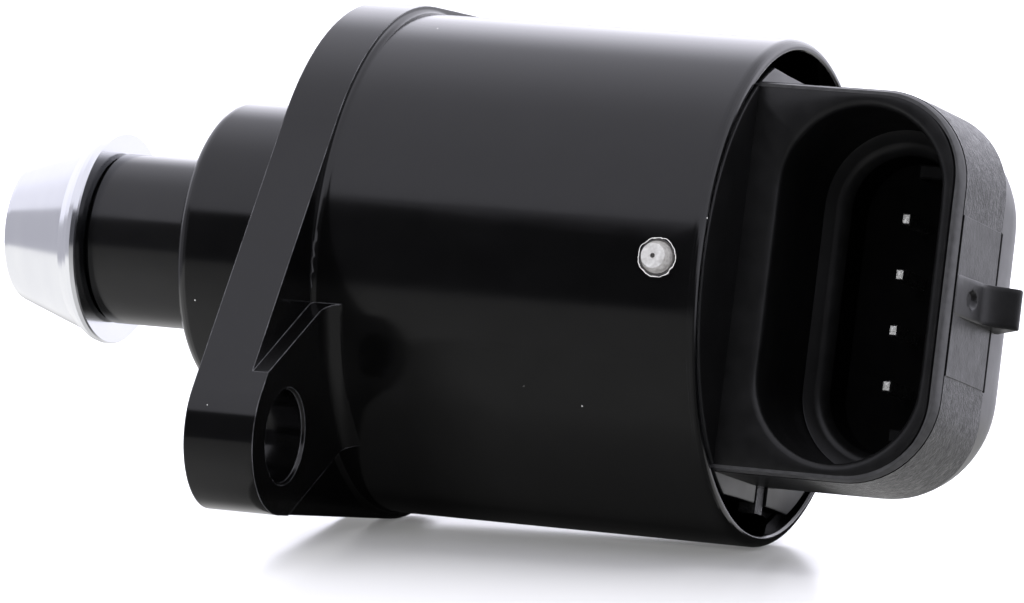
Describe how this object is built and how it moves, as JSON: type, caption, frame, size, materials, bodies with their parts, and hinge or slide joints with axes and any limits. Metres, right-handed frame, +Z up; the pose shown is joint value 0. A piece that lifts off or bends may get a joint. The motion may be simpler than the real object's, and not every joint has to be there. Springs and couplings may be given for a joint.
{
  "type": "idle air control valve",
  "caption": "Stepper-driven idle air control valve: black flanged can with a nose, a sliding plunger with a bare metal valve cone, and a side-facing pin socket.",
  "frame": {"origin": "on the valve axis, in the plane of the flange's mounting face", "axes": "+X along the valve axis from the mounting face towards the end cap, so the nose and cone point to -X; +Z up as the valve lies in the picture; the socket faces -Y, 12.6 degrees above the horizontal"},
  "size_m": [0.0781, 0.0602, 0.0376],
  "materials": {
    "black_coating": "satin black coating on die-cast aluminium",
    "cone_metal": "bright turned aluminium",
    "plunger_black": "glossy black moulding",
    "connector_black": "finely textured black moulding",
    "tin_plate": "tin-plated contact strip",
    "pin_steel": "bare steel, cut and scratched",
    "sintered_bronze": "porous sintered bronze",
    "seal_rubber": "black rubber",
    "bearing_steel": "ground bearing steel",
    "cage_brass": "pressed brass",
    "stator_steel": "pressed soft iron, zinc plated",
    "bobbin_plastic": "natural moulding",
    "copper_winding": "enamelled copper wire",
    "screw_steel": "ground steel with a rolled thread",
    "hub_plastic": "grey moulding",
    "ferrite": "sintered ferrite",
    "spring_steel": "spring steel",
    "nut_brass": "turned brass"
  },
  "bodies": {
    "housing": {"housing": "black_coating", "guide_bushing": "sintered_bronze", "wiper_seal": "seal_rubber", "bearing_outer_race": "bearing_steel", "stator_a_cup": "stator_steel", "stator_a_inner_plate": "stator_steel", "stator_a_bobbin": "bobbin_plastic", "stator_a_winding": "copper_winding", "stator_b_cup": "stator_steel", "stator_b_inner_plate": "stator_steel", "stator_b_bobbin": "bobbin_plastic", "stator_b_winding": "copper_winding", "preload_washer": "spring_steel", "rear_bush": "sintered_bronze", "end_cap": "connector_black", "terminal_1": "tin_plate", "terminal_2": "tin_plate", "terminal_3": "tin_plate", "terminal_4": "tin_plate", "cap_seal_ring": "seal_rubber", "fixing_pins": "pin_steel"},
    "rotor": {"lead_screw": "screw_steel", "rotor_hub": "hub_plastic", "magnet_ring": "ferrite", "bearing_inner_race": "bearing_steel"},
    "ball_ring": {"bearing_balls": "bearing_steel", "bearing_cage": "cage_brass"},
    "plunger": {"plunger_tube": "plunger_black", "plunger_nut": "nut_brass", "valve_cone": "cone_metal"}
  },
  "joints": [
    {"name": "rotor_spin", "type": "hinge", "parent": "housing", "child": "rotor", "pos_m": [0.0185, 0, 0], "axis": [1, 0, 0], "range_deg": [-2880, 360]},
    {"name": "plunger_slide", "type": "slide", "parent": "housing", "child": "plunger", "axis": [1, 0, 0], "range_m": [-0.00101, 0.00801]},
    {"name": "ball_ring_spin", "type": "hinge", "parent": "housing", "child": "ball_ring", "pos_m": [0.0085, 0, 0], "axis": [1, 0, 0], "range_deg": [-1050, 135]}
  ],
  "couplings": [
    {"joint": "plunger_slide", "follows": "rotor_spin", "m_per_rad": -0.00015915},
    {"joint": "ball_ring_spin", "follows": "rotor_spin", "ratio": 0.3632}
  ]
}
